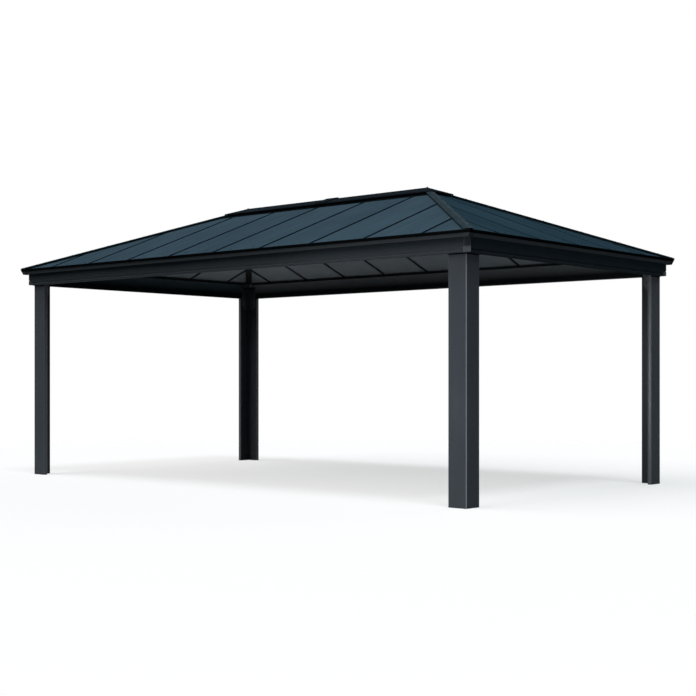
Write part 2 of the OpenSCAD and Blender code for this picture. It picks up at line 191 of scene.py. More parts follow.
def makeRainMarks(setup):
    tree, given, out = newGroup(
        "rainMarks",
        [("Across", "NodeSocketFloat", setup["across"]), ("Along", "NodeSocketFloat", setup["along"])],
        [("Marks", "NodeSocketFloat"), ("Low", "NodeSocketFloat")])
    place = putNode(tree, "ShaderNodeTexCoord", (-900, 300)).outputs["Object"]
    parts = putNode(tree, "ShaderNodeSeparateXYZ", (-700, 300), {0: place}).outputs
    drawn = [
        mathNode(tree, "MULTIPLY", (-500, 400), parts[0], given["Across"]),
        mathNode(tree, "MULTIPLY", (-500, 250), parts[1], given["Across"]),
        mathNode(tree, "MULTIPLY", (-500, 100), parts[2], given["Along"])]
    joined = putNode(tree, "ShaderNodeCombineXYZ", (-300, 250), dict(enumerate(drawn))).outputs[0]
    streaks = putNode(tree, "ShaderNodeTexNoise", (-100, 250), {
        "Vector": joined, "Scale": 1.0,
        "Detail": setup["detail"], "Roughness": setup["roughness"]}).outputs[0]
    tree.links.new(rampRange(tree, (150, 250), streaks, *setup["markRange"]), out["Marks"])
    tree.links.new(rampRange(tree, (150, 0), parts[2], *setup["dustRange"]), out["Low"])
    return tree


# depth under the plane of the roof, measured square to the nearest slope
def makeRoofDepth():
    tree, _, out = newGroup("roofDepth", [], [("Depth", "NodeSocketFloat")])
    place = putNode(tree, "ShaderNodeTexCoord", (-900, 200)).outputs["Object"]
    parts = putNode(tree, "ShaderNodeSeparateXYZ", (-700, 200), {0: place}).outputs
    fromEnds = mathNode(
        tree, "SUBTRACT", (-300, 300), roof["halfL"], mathNode(tree, "ABSOLUTE", (-500, 300), parts[0]))
    fromSides = mathNode(
        tree, "SUBTRACT", (-300, 150), roof["halfW"], mathNode(tree, "ABSOLUTE", (-500, 150), parts[1]))
    inward = mathNode(tree, "MINIMUM", (-100, 200), fromEnds, fromSides)
    below = mathNode(tree, "SUBTRACT", (-100, 0), roof["eaveH"], parts[2])
    drop = mathNode(tree, "MULTIPLY", (100, 0), below, math.cos(roof["pitch"]))
    depth = mathNode(tree, "MULTIPLY_ADD", (300, 100), inward, math.sin(roof["pitch"]), drop)
    tree.links.new(depth, out["Depth"])
    return tree


# which way a wall faces: into the gazebo, out over a corner, or down, and how high it is
facingSetup = {"inwardRange": (0.4, 0.6), "cornerRange": (0.5, 0.65), "downRange": (0.5, 0.9)}


def makeFacing(setup):
    tree, _, out = newGroup(
        "facing", [],
        [("Inward", "NodeSocketFloat"), ("Corner", "NodeSocketFloat"), ("Down", "NodeSocketFloat"),
         ("Height", "NodeSocketFloat")])
    place = putNode(tree, "ShaderNodeTexCoord", (-900, 200)).outputs["Object"]
    at = putNode(tree, "ShaderNodeSeparateXYZ", (-700, 200), {0: place}).outputs
    surface = putNode(tree, "ShaderNodeNewGeometry", (-900, -100)).outputs["Normal"]
    normal = putNode(tree, "ShaderNodeSeparateXYZ", (-700, -100), {0: surface}).outputs
    signX = mathNode(tree, "SIGN", (-500, 200), at[0])
    signY = mathNode(tree, "SIGN", (-500, 0), at[1])
    outX = mathNode(tree, "MULTIPLY", (-300, 200), normal[0], signX)
    outY = mathNode(tree, "MULTIPLY", (-300, 0), normal[1], signY)
    lowest = mathNode(tree, "MINIMUM", (-100, 150), outX, outY)
    inward = mathNode(tree, "MULTIPLY", (100, 150), lowest, -1.0)
    down = mathNode(tree, "MULTIPLY", (-100, -200), normal[2], -1.0)
    tree.links.new(rampRange(tree, (300, 300), inward, *setup["inwardRange"]), out["Inward"])
    tree.links.new(rampRange(tree, (300, 100), lowest, *setup["cornerRange"]), out["Corner"])
    tree.links.new(rampRange(tree, (300, -150), down, *setup["downRange"]), out["Down"])
    tree.links.new(at[2], out["Height"])
    return tree


powderCoat = makePowderCoat(coatSetup)
edgeWearAndGlint = makeEdgeWearAndGlint(wearAndGlintSetup)
rainMarks = makeRainMarks(rainSetup)
roofDepth = makeRoofDepth()
facing = makeFacing(facingSetup)
print("effects shared by the finishes")


def newMaterial(name):
    material = bpy.data.materials.new(name)
    material.use_nodes = True
    tree = material.node_tree
    shader = tree.nodes["Principled BSDF"]
    shader.location = (900, 0)
    tree.nodes["Material Output"].location = (1200, 0)
    return material, tree, shader


def coatBump(tree, shader, height, strength, distance):
    bump = putNode(
        tree, "ShaderNodeBump", (650, -350),
        {"Height": height, "Strength": strength, "Distance": distance})
    tree.links.new(bump.outputs[0], shader.inputs["Normal"])


# a matt or satin powder-coated wall, for posts, beams and the black trims
def paintedMaterial(name, look):
    material, tree, shader = newMaterial(name)
    coat = useGroup(tree, powderCoat, (-600, 200), CloudScale=look["cloudScale"])
    edge = useGroup(tree, edgeWearAndGlint, (-600, -50), Radius=look["edgeRadius"])
    rain = useGroup(tree, rainMarks, (-600, -300))
    tone = mixColour(tree, (-300, 200), coat["Clouds"], look["dark"], look["light"])
    if "skirt" in look:
        depth = useGroup(tree, roofDepth, (-600, 500))["Depth"]
        fade = [roof["rimH"] - short for short in roof["skirtFade"]]
        under = rampRange(tree, (-400, 500), depth, *fade)
        tone = mixColour(tree, (-150, 350), under, tone, look["skirt"])
    if look.keys() & {"corner", "foot", "inner"}:
        way = useGroup(tree, facing, (-600, 700))
    # painted highlight: the bevelled outer corners are painted much lighter, for the light they catch
    if "corner" in look:
        tone = mixColour(tree, (-150, 500), way["Corner"], tone, look["corner"])
    # painted light: a wall lighter towards its foot, below the shade under the eave
    if "foot" in look:
        foot = rampRange(tree, (-400, 1000), way["Height"], *look["footRange"])
        tone = mixColour(tree, (-250, 950), foot, tone, look["foot"])
    # painted shade on the faces that look into the gazebo, graded by height; on the beams it turns to
    # painted light towards the top
    if "inner" in look:
        climb = rampRange(tree, (-400, 800), way["Height"], *look["innerRange"])
        inside = mixColour(tree, (-250, 750), climb, look["inner"], look["innerTop"])
        tone = mixColour(tree, (-100, 600), way["Inward"], tone, inside)
    # painted light on faces that look down
    if "under" in look:
        tone = mixColour(tree, (50, 600), way["Down"], tone, look["under"])
    streak = mathNode(tree, "MULTIPLY", (-300, -250), rain["Marks"], look["streak"])
    tone = mixColour(tree, (-50, 150), streak, tone, look["dust"])
    low = mathNode(tree, "MULTIPLY", (-300, -450), rain["Low"], look["lowDust"])
    tone = mixColour(tree, (150, 100), low, tone, look["dust"])
    # lighter edges: partly worn paint, partly a painted highlight
    wearAndGlintMask = mathNode(tree, "MULTIPLY", (-50, -100), edge["Edge"], look["wearAndGlint"])
    tone = mixColour(tree, (400, 100), wearAndGlintMask, tone, look["edge"])
    tree.links.new(tone, shader.inputs["Base Color"])
    gloss = rampRange(tree, (400, -150), coat["Fleck"], 0.0, 1.0, *look["roughness"])
    tree.links.new(gloss, shader.inputs["Roughness"])
    shader.inputs["Specular IOR Level"].default_value = look["specular"]
    coatBump(tree, shader, coat["Peel"], look["peel"], look["peelDepth"])
    return material


# charcoal walls, and what the other painted pieces change
wallLook = {
    "dark": (0.050, 0.058, 0.069, 1), "light": (0.059, 0.068, 0.080, 1),
    # the edge tone and its amount make the edges lighter: partly wear, partly a painted highlight
    "edge": (0.18, 0.19, 0.21, 1), "wearAndGlint": 0.6, "edgeRadius": 0.005,
    "dust": (0.11, 0.11, 0.11, 1), "streak": 0.08, "lowDust": 0.06,
    "cloudScale": 1.4, "roughness": (0.5, 0.64), "specular": 0.03, "peel": 0.25, "peelDepth": 0.0006,
}
postLook = dict(
    # corner is a painted highlight on the posts' bevelled outer corners
    wallLook, corner=(0.25, 0.265, 0.29, 1),
    # inner, innerTop and innerRange are painted shade: the posts' faces into the gazebo darker, darkest
    # towards the top
    inner=(0.040, 0.0465, 0.055, 1), innerTop=(0.022, 0.0255, 0.030, 1), innerRange=(1.45, 2.05))
# the noses' paint is lighter than the posts': a painted highlight for the light their rounded ends
# catch
noseLook = dict(
    wallLook, dark=(0.070, 0.080, 0.092, 1), light=(0.082, 0.092, 0.105, 1),
    roughness=(0.3, 0.38), specular=0.2)
beamLook = dict(
    wallLook, dark=(0.0225, 0.0285, 0.0335, 1), light=(0.028, 0.0355, 0.0415, 1),
    # foot and footRange are painted light: the fascia lighter towards its foot, below the eave's shade
    edge=(0.06, 0.066, 0.072, 1), foot=(0.048, 0.057, 0.064, 1), footRange=(2.18, 2.13),
    # inner, innerTop and innerRange are painted shade and light: the inner faces near black low, light
    # towards the roof
    inner=(0.010, 0.0115, 0.013, 1), innerTop=(0.23, 0.245, 0.255, 1), innerRange=(2.15, 2.3),
    # under is painted light on the beams' down-facing faces
    under=(0.12, 0.13, 0.137, 1), streak=0.03, specular=0.0)
# the short sides' beams, the same paint in other tones: bluer and lighter on the face, darker at the
# foot, inside and below; painted light and shade
shortBeamLook = dict(
    beamLook, dark=(0.027, 0.041, 0.050, 1), light=(0.033, 0.048, 0.058, 1),
    foot=(0.032, 0.047, 0.056, 1), inner=(0.006, 0.0085, 0.010, 1), innerTop=(0.09, 0.125, 0.145, 1),
    under=(0.035, 0.039, 0.042, 1))
# the corner blocks: foot is painted light, the plinth lighter than the block above, which lies in the
# eave's shade
blockLook = dict(
    wallLook, dark=(0.030, 0.034, 0.039, 1), light=(0.036, 0.041, 0.047, 1),
    foot=(0.125, 0.137, 0.15, 1), footRange=(2.144, 2.14))

# black trims, frame and fittings
trimLook = dict(
    wallLook, dark=(0.0022, 0.0028, 0.0034, 1), light=(0.004, 0.0048, 0.0056, 1),
    edge=(0.03, 0.034, 0.038, 1), dust=(0.02, 0.021, 0.022, 1), wearAndGlint=0.4, specular=0.0)
eaveLook = dict(trimLook, skirt=(0.050, 0.057, 0.063, 1))
# the short sides' skirt is painted lighter than the long sides' on the same trim: painted light
shortEaveLook = dict(trimLook, skirt=(0.075, 0.084, 0.092, 1))
closerLook = dict(trimLook, dark=(0.014, 0.0155, 0.017, 1), light=(0.018, 0.02, 0.0215, 1))
capLook = dict(
    trimLook, dark=(0.008, 0.0118, 0.0158, 1), light=(0.0125, 0.018, 0.0235, 1),
    edge=(0.04, 0.047, 0.055, 1))
frameLook = dict(
    trimLook, dark=(0.0055, 0.0062, 0.007, 1), light=(0.008, 0.009, 0.010, 1),
    roughness=(0.42, 0.52), specular=0.04)
bracketLook = dict(
    frameLook, dark=(0.012, 0.0135, 0.015, 1), light=(0.018, 0.02, 0.022, 1),
    edge=(0.09, 0.095, 0.10, 1), specular=0.25)

# strips and caps on the roof
hipLook = dict(
    wallLook, dark=(0.0075, 0.0185, 0.025, 1), light=(0.0115, 0.0245, 0.0325, 1),
    edge=(0.075, 0.10, 0.105, 1), cloudScale=6.0, wearAndGlint=0.4, specular=0.004)
seamLook = dict(
    wallLook, dark=(0.0025, 0.006, 0.010, 1), light=(0.004, 0.009, 0.014, 1),
    edge=(0.03, 0.04, 0.05, 1), dust=(0.02, 0.024, 0.028, 1), wearAndGlint=0.2, specular=0.0)
# the short slopes' copy of the same seam strips is painted close to the sheet's tone, where they look
# faint in the light: painted light
shortSeamLook = dict(
    seamLook, dark=(0.0085, 0.020, 0.030, 1), light=(0.014, 0.030, 0.041, 1),
    edge=(0.06, 0.09, 0.11, 1))

# coated roof sheet: blue-grey above, each bay with its own tone and marks down the slope, grey below;
# the grey below is painted lighter, as painted light that makes up for the weak light bounced up from
# the floor
panelLook = {
    "dark": (0.028, 0.050, 0.068, 1), "light": (0.042, 0.070, 0.094, 1), "cloudScale": 1.1,
    "under": (0.30, 0.33, 0.35, 1), "underLight": (0.37, 0.395, 0.415, 1), "bayTone": 0.35,
    "mark": (0.075, 0.105, 0.13, 1), "markAmount": 0.35, "markRange": (0.52, 0.8),
    "markScale": (46, 1.1, 1.1), "markDetail": 4.0,
    "roughness": (0.5, 0.65), "specular": 0.0, "peel": 0.15, "peelDepth": 0.0004,
}
# the short slopes' copy of the same sheet is painted darker and bluer: painted shade
shortPanelLook = dict(
    panelLook, dark=(0.0145, 0.034, 0.049, 1), light=(0.0235, 0.0485, 0.0665, 1),
    mark=(0.045, 0.079, 0.103, 1))

# the sheets' screws have the sheets' tones, so those on the short slopes carry the painted shade too
longScrewLook = dict(seamLook, dark=panelLook["dark"], light=panelLook["light"])
shortScrewLook = dict(seamLook, dark=shortPanelLook["dark"], light=shortPanelLook["light"])


def panelMaterial(name, look, turn):
    material, tree, shader = newMaterial(name)
    coat = useGroup(tree, powderCoat, (-900, 300), CloudScale=look["cloudScale"])
    place = putNode(tree, "ShaderNodeTexCoord", (-1300, -100)).outputs["Object"]
    turned = putNode(
        tree, "ShaderNodeMapping", (-1100, -100),
        {"Vector": place, "Rotation": (0, 0, turn)}).outputs[0]
    across = putNode(tree, "ShaderNodeSeparateXYZ", (-900, -100), {0: turned}).outputs[0]
    bays = mathNode(tree, "DIVIDE", (-700, -200), across, roof["bay"])
    bayNumber = mathNode(tree, "FLOOR", (-500, -200), bays)
    bayTone = putNode(
        tree, "ShaderNodeTexWhiteNoise", (-300, -200), {"W": bayNumber},
        noise_dimensions="1D").outputs["Value"]
    drawn = putNode(
        tree, "ShaderNodeMapping", (-700, -450),
        {"Vector": turned, "Scale": look["markScale"]}).outputs[0]
    marks = putNode(
        tree, "ShaderNodeTexNoise", (-500, -450),
        {"Vector": drawn, "Scale": 1.0, "Detail": look["markDetail"]}).outputs[0]
    mark = rampRange(tree, (-300, -450), marks, *look["markRange"], 0.0, look["markAmount"])
    level = mathNode(tree, "MULTIPLY", (-100, -200), bayTone, look["bayTone"])
    level = mathNode(tree, "MULTIPLY_ADD", (50, -100), coat["Clouds"], 1 - look["bayTone"], level)
    top = mixColour(tree, (200, 200), level, look["dark"], look["light"])
    top = mixColour(tree, (400, 200), mark, top, look["mark"])
    # the grey underside is partly painted light, lighter to make up for the weak bounce from the floor
    under = mixColour(tree, (200, -50), coat["Clouds"], look["under"], look["underLight"])
    surface = putNode(tree, "ShaderNodeNewGeometry", (0, 500)).outputs["Normal"]
    upward = putNode(tree, "ShaderNodeSeparateXYZ", (200, 500), {0: surface}).outputs[2]
    onTop = mathNode(tree, "GREATER_THAN", (400, 450), upward, 0.0)
    tone = mixColour(tree, (650, 150), onTop, under, top)
    tree.links.new(tone, shader.inputs["Base Color"])
    gloss = rampRange(tree, (400, -150), coat["Fleck"], 0.0, 1.0, *look["roughness"])
    tree.links.new(gloss, shader.inputs["Roughness"])
    shader.inputs["Specular IOR Level"].default_value = look["specular"]
    coatBump(tree, shader, coat["Peel"], look["peel"], look["peelDepth"])
    return material


postPaint = paintedMaterial("postPaint", postLook)
blockPaint = paintedMaterial("blockPaint", blockLook)
nosePaint = paintedMaterial("nosePaint", noseLook)
beamPaint = paintedMaterial("beamPaint", beamLook)
shortBeamPaint = paintedMaterial("shortBeamPaint", shortBeamLook)
trimPaint = paintedMaterial("trimPaint", trimLook)
closerPaint = paintedMaterial("closerPaint", closerLook)
framePaint = paintedMaterial("framePaint", frameLook)
bracketPaint = paintedMaterial("bracketPaint", bracketLook)
capPaint = paintedMaterial("capPaint", capLook)
hipPaint = paintedMaterial("hipPaint", hipLook)
seamPaint = paintedMaterial("seamPaint", seamLook)
shortSeamPaint = paintedMaterial("shortSeamPaint", shortSeamLook)
eavePaint = paintedMaterial("eavePaint", eaveLook)
shortEavePaint = paintedMaterial("shortEavePaint", shortEaveLook)
longScrewPaint = paintedMaterial("longScrewPaint", longScrewLook)
shortScrewPaint = paintedMaterial("shortScrewPaint", shortScrewLook)
longPanels = panelMaterial("longPanels", panelLook, 0.0)
shortPanels = panelMaterial("shortPanels", shortPanelLook, math.radians(90))

# a node takes the paint of the longest name that its own name starts with
nodePaint = {
    "post": postPaint, "beam_corner": blockPaint, "eave_corner": eavePaint,
    "beam": beamPaint, "beam_right": shortBeamPaint, "beam_left": shortBeamPaint,
    "eave": eavePaint, "eave_right": shortEavePaint, "eave_left": shortEavePaint,
    "seams": seamPaint, "seams_right": shortSeamPaint, "seams_left": shortSeamPaint,
    "panels": longPanels, "panels_right": shortPanels, "panels_left": shortPanels,
    "rafters": framePaint, "hip_rafter": framePaint, "hip_cap": hipPaint,
    "ridge_beam": framePaint, "vent_curb": trimPaint, "ridge_cap": capPaint, "ridge_joint": capPaint,
}
for name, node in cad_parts.items():
    kind = max((key for key in nodePaint if name.startswith(key)), key=len)
    node.data.materials.clear()
    node.data.materials.append(nodePaint[kind])
print("finishes on the CAD nodes")


# modelling helpers: near is a length in metres; a direction counts as along an axis when more than
# squareOn of it lies that way, and as level when less than levelTo of it is upright
meshSetup = {"mergeWithin": 0.00002, "smoothBelow": math.radians(35)}
near = 0.001
squareOn = 0.9
levelTo = 0.1


def deselect():
    bpy.ops.object.select_all(action="DESELECT")


def startEdit():
    bpy.ops.object.transform_apply(location=True, rotation=True, scale=True)
    bpy.ops.object.mode_set(mode="EDIT")
    return bpy.context.object


def addBlock(low, high):
    deselect()
    size = [b - a for a, b in zip(low, high)]
    middle = [(a + b) / 2 for a, b in zip(low, high)]
    bpy.ops.mesh.primitive_cube_add(size=1, location=middle, scale=size)
    return startEdit()


def addRound(count, radius, low, high):
    deselect()
    bpy.ops.mesh.primitive_cylinder_add(
        vertices=count, radius=radius, depth=high - low, location=(0, 0, (low + high) / 2))
    return startEdit()


def pickFaces(piece, test):
    bpy.ops.mesh.select_mode(type="FACE")
    bpy.ops.mesh.select_all(action="DESELECT")
    shape = bmesh.from_edit_mesh(piece.data)
    for face in shape.faces:
        if test(face.calc_center_median(), face.normal):
            face.select_set(True)
    bmesh.update_edit_mesh(piece.data)


def pickEdges(piece, test):
    bpy.ops.mesh.select_mode(type="EDGE")
    bpy.ops.mesh.select_all(action="DESELECT")
    shape = bmesh.from_edit_mesh(piece.data)
    for edge in shape.edges:
        start, end = (corner.co for corner in edge.verts)
        if test((start + end) / 2, (end - start).normalized()):
            edge.select_set(True)
    bmesh.update_edit_mesh(piece.data)


def facesUp(_, normal):
    return normal.z > squareOn


def cutAll(at, normal, **options):
    bpy.ops.mesh.select_all(action="SELECT")
    bpy.ops.mesh.bisect(plane_co=at, plane_no=normal, **options)


def pullOut(y=0.0, z=0.0):
    bpy.ops.mesh.extrude_region_move(TRANSFORM_OT_translate={"value": (0, y, z)})


# inset the picked faces and lift what is left of them
def raiseInset(thickness, rise):
    bpy.ops.mesh.inset(thickness=thickness)
    bpy.ops.transform.translate(value=(0, 0, rise))


def bevelPicked(offset, segments):
    bpy.ops.mesh.bevel(offset=offset, segments=segments, affect="EDGES")


def leaveEdit():
    bpy.ops.mesh.select_all(action="SELECT")
    bpy.ops.mesh.remove_doubles(threshold=meshSetup["mergeWithin"])
    bpy.ops.mesh.normals_make_consistent(inside=False)
    bpy.ops.object.mode_set(mode="OBJECT")


def copyOf(model, matrix):
    piece = model.copy()
    piece.data = model.data.copy()
    piece.data.transform(matrix)
    scene.collection.objects.link(piece)
    return piece


def joinPieces(parts):
    deselect()
    for part in parts:
        part.select_set(True)
    bpy.context.view_layer.objects.active = parts[0]
    if len(parts) > 1:
        bpy.ops.object.join()
    return bpy.context.object


def finishPiece(parts, name, paint):
    piece = joinPieces(parts)
    piece.name = name
    bpy.ops.object.shade_smooth_by_angle(angle=meshSetup["smoothBelow"])
    piece.data.materials.clear()
    piece.data.materials.append(paint)
    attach(piece, "root")


def dropModel(model):
    bpy.data.objects.remove(model, do_unlink=True)


def turnAbout(degrees, axis):
    return Matrix.Rotation(math.radians(degrees), 4, axis)


# half the roof across a side, and half of it along that side; sides 0 and 2 are the long ones
def halvesOf(side):
    halves = (roof["halfW"], roof["halfL"])
    return halves if side % 2 == 0 else halves[::-1]


# places: on a slope by its own run and depth, in a post's corner, and on a beam's inner face
def slopePlace(side, x, y, depth):
    pitch = roof["pitch"]
    at = Vector((
        x,
        y * math.cos(pitch) + depth * math.sin(pitch) - halvesOf(side)[0],
        roof["eaveH"] + y * math.sin(pitch) - depth * math.cos(pitch)))
    return turnAbout(90 * side, "Z") @ Matrix.Translation(at) @ Matrix.Rotation(pitch, 4, "X")


def cornerPlace(index, inset=0.0):
    signX, signY = cornerSigns[index]
    back = post["overhang"] + inset
    at = Vector((signX * (roof["halfL"] - back), signY * (roof["halfW"] - back), 0))
    return Matrix.Translation(at) @ turnAbout(90 * (index + 1), "Z")


def beamPlace(side):
    at = Vector((0, post["overhang"] + post["thick"] - halvesOf(side)[0], 0))
    return turnAbout(90 * side, "Z") @ Matrix.Translation(at)


# rounded noses that close the ends of the posts' legs
noseSetup = {"depth": 0.0045, "sink": 0.0008, "sides": 28, "top": 2.0985}


def makeNoses(setup):
    half = post["thick"] / 2
    nose = addRound(setup["sides"], half, 0, setup["top"])
    cutAll((0, 0, 0), (1, 0, 0), use_fill=True, clear_inner=True)
    bpy.ops.mesh.select_all(action="SELECT")
    flatten = (setup["depth"] + setup["sink"]) / half
    bpy.ops.transform.resize(value=(flatten, 1, 1), center_override=(0, 0, 0))
    bpy.ops.transform.translate(value=(-setup["sink"], 0, 0))
    leaveEdit()
    alongX = Matrix.Translation((post["leg"], half, 0))
    alongY = Matrix.Translation((half, post["leg"], 0)) @ turnAbout(90, "Z")
    for index, corner in enumerate(corners):
        parts = [copyOf(nose, cornerPlace(index) @ leg) for leg in (alongX, alongY)]
        finishPiece(parts, "post_nose_" + corner, nosePaint)
    dropModel(nose)


# thin dark plates between the posts' tops and the beams; their dark is painted shade, standing in for
# the shadow in the gap there
capSetup = {
    "proud": 0.0012, "endProud": 0.004, "low": 2.0865, "high": 2.0968, "round": 0.006, "roundSteps": 3,
}


def makePostCaps(setup):
    proud = setup["proud"]
    reach, wide = post["leg"] + setup["endProud"], post["thick"] + proud
    plate = addBlock((-proud, -proud, setup["low"]), (reach, wide, setup["high"]))
    cutAll((wide, 0, 0), (1, 0, 0))
    pickFaces(plate, lambda at, normal: normal.y > squareOn and at.x < wide)
    pullOut(y=reach - wide)
    pickEdges(plate, lambda at, way: abs(way.z) > squareOn and at.x < 0 and at.y < 0)
    bevelPicked(post["bevel"], 1)
    pickEdges(plate, lambda at, way: abs(way.z) > squareOn and max(at.x, at.y) > reach - near)
    bevelPicked(setup["round"], setup["roundSteps"])
    leaveEdit()
    for index, corner in enumerate(corners):
        cap = copyOf(plate, cornerPlace(index))
        finishPiece([cap], "post_cap_" + corner, trimPaint)
    dropModel(plate)


# hex bolt with a washer
boltSetup = {
    "washerSides": 18, "washerR": 0.011, "washerH": 0.002, "washerRim": 0.001, "washerRise": 0.0005,
    "sides": 6, "headR": 0.0085, "headH": 0.0065, "chamfer": 0.0012, "chamferRise": 0.6, "sink": 0.0005,
}


def makeBolt(setup):
    washerH = setup["washerH"]
    washer = addRound(setup["washerSides"], setup["washerR"], -setup["sink"], washerH)
    pickFaces(washer, facesUp)
    raiseInset(setup["washerRim"], setup["washerRise"])
    leaveEdit()
    head = addRound(setup["sides"], setup["headR"], washerH, washerH + setup["headH"])
    pickFaces(head, facesUp)
    raiseInset(setup["chamfer"], setup["chamfer"] * setup["chamferRise"])
    leaveEdit()
    return joinPieces([head, washer])


# low flanged screw for sheet
screwSetup = {
    "sides": 10, "washerR": 0.0072, "washerH": 0.0012, "rim": 0.0024, "headH": 0.0034,
    "chamfer": 0.0009, "chamferRise": 0.6, "sink": 0.0004,
}


def makeScrew(setup):
    screw = addRound(setup["sides"], setup["washerR"], -setup["sink"], setup["washerH"])
    pickFaces(screw, facesUp)
    bpy.ops.mesh.inset(thickness=setup["rim"])
    pullOut(z=setup["headH"])
    raiseInset(setup["chamfer"], setup["chamfer"] * setup["chamferRise"])
    leaveEdit()
    return screw


# bent plates that tie each post to its two beams, inside the corner
bracketSetup = {
    "reach": 0.122, "thick": 0.004, "sink": 0.0005, "low": 1.955, "high": 2.245,
    "slant": 0.05, "nick": 0.02, "nickSteps": 4,
    "boltsAlong": (0.035, 0.092), "boltHeights": (2.035, 2.2),
}


def makeBrackets(setup, bolt):
    reach, thick, sink = setup["reach"], setup["thick"], setup["sink"]
    plate = addBlock((-sink, -sink, setup["low"]), (reach, thick, setup["high"]))
    cutAll((thick, 0, 0), (1, 0, 0))
    pickFaces(plate, lambda at, normal: normal.y > squareOn and at.x < thick)
    pullOut(y=reach - thick)

    def levelEnd(at, way):
        return abs(way.z) < levelTo and max(at.x, at.y) > reach - near

    pickEdges(plate, lambda at, way: levelEnd(at, way) and at.z < setup["low"] + near)
    bevelPicked(setup["slant"], 1)
    pickEdges(plate, lambda at, way: levelEnd(at, way) and at.z > setup["high"] - near)
    bevelPicked(setup["nick"], setup["nickSteps"])
    leaveEdit()
    bolts = []
    for along in setup["boltsAlong"]:
        for height in setup["boltHeights"]:
            onX = Matrix.Translation((along, thick, height)) @ turnAbout(-90, "X")
            onY = Matrix.Translation((thick, along, height)) @ turnAbout(90, "Y")
            bolts += [copyOf(bolt, onX), copyOf(bolt, onY)]
    bracket = joinPieces([plate] + bolts)
    for index, corner in enumerate(corners):
        piece = copyOf(bracket, cornerPlace(index, post["thick"]))
        finishPiece([piece], "bracket_" + corner, bracketPaint)
    dropModel(bracket)


# dark strips that close the gap between the beams' inner faces and the roof sheet; their dark is partly
# painted shade, for the shadow along that joint
closerSetup = {
    "short": 0.065, "thick": 0.006, "sink": 0.0005, "low": 2.272, "high": 2.2955,
    "lip": 0.006, "lipH": 0.004, "round": 0.0018, "roundSteps": 2,
}


def makeClosers(setup):
    lipTop = setup["low"] + setup["lipH"]
    for index, side in enumerate(sides):
        half = halvesOf(index)[1] - post["overhang"] - post["thick"] - setup["short"]
        strip = addBlock((-half, -setup["sink"], setup["low"]), (half, setup["thick"], setup["high"]))
        cutAll((0, 0, lipTop), (0, 0, 1))
        pickFaces(strip, lambda at, normal: normal.y > squareOn and at.z < lipTop)
        pullOut(y=setup["lip"])
        pickEdges(strip, lambda at, way: abs(way.x) > squareOn and at.y > setup["thick"] + near)
        bevelPicked(setup["round"], setup["roundSteps"])
        leaveEdit()
        piece = copyOf(strip, beamPlace(index))
        dropModel(strip)
        finishPiece([piece], "closer_" + side, closerPaint)


# screws on hip caps, seam strips, panels over the beams, and the ridge cap
# pairs hold the long sides' value first, and the short sides' second
fixSetup = {
    "hipOut": 0.027, "hipFrom": 0.14, "hipTo": 1.62, "hipStep": 0.30,
    "seamFrom": 0.11, "seamTops": (1.60, 1.66), "seamStep": 0.42, "endRoom": 0.2, "hipRoom": 0.12,
    "eaveUp": 0.128, "eaveStep": 0.15, "ridgeOut": 0.158, "ridgeStep": 0.29, "ridgeCount": 4,
    "capTop": 2.9727, "capTan": 0.3491, "jointHalf": 0.058, "jointT": 0.0085,
    "seamTones": (seamPaint, shortSeamPaint), "panelTones": (longScrewPaint, shortScrewPaint),
}


def spread(low, high, step):
    count = max(1, round((high - low) / step))
    return [low + (high - low) * i / count for i in range(count + 1)]


# the seams on each half of a side, without the one in the middle
def seamCount(setup, side):
    return int((halvesOf(side)[1] - setup["endRoom"]) / roof["bay"])


def screwHip(setup, screw, side, sign):
    half, found = halvesOf(side)[1], []
    for y in spread(setup["hipFrom"], setup["hipTo"], setup["hipStep"]):
        inward = y * roof["halfW"] / roof["slopeRun"]
        x = half - inward - setup["hipOut"] * roof["slopeRun"] / roof["hipRun"]
        up = y - setup["hipOut"] * roof["halfW"] / roof["hipRun"]
        found.append(copyOf(screw, slopePlace(side, sign * x, up, -roof["hipTop"])))
    return found


def screwSeams(setup, screw, side):
    half, found = halvesOf(side)[1], []
    count = seamCount(setup, side)
    for bay in range(-count, count + 1):
        x = bay * roof["bay"]
        atHip = (half - abs(x)) * roof["slopeRun"] / roof["halfW"]
        high = min(setup["seamTops"][side % 2], atHip - setup["hipRoom"])
        for y in spread(setup["seamFrom"], high, setup["seamStep"]):
            found.append(copyOf(screw, slopePlace(side, x, y, roof["panelDrop"] - roof["seamT"])))
    return found


def screwPanels(setup, screw, side):
    found = []
    count = seamCount(setup, side)
    for bay in range(-count, count):
        for offset in (-setup["eaveStep"], setup["eaveStep"]):
            x = (bay + 0.5) * roof["bay"] + offset
            found.append(copyOf(screw, slopePlace(side, x, setup["eaveUp"], roof["panelDrop"])))
    return found


def screwRidge(setup, screw):
    tilt = Matrix.Rotation(math.atan(setup["capTan"]), 4, "X")
    height = setup["capTop"] - setup["ridgeOut"] * setup["capTan"]
    rows = [(step * setup["ridgeStep"], height) for step in range(1, setup["ridgeCount"] + 1)]
    rows.append((setup["jointHalf"], height + setup["jointT"]))
    found = []
    for degrees in (0, 180):
        for along, up in rows:
            for sign in (-1, 1):
                at = Matrix.Translation((sign * along, -setup["ridgeOut"], up))
                found.append(copyOf(screw, turnAbout(degrees, "Z") @ at @ tilt))
    return found


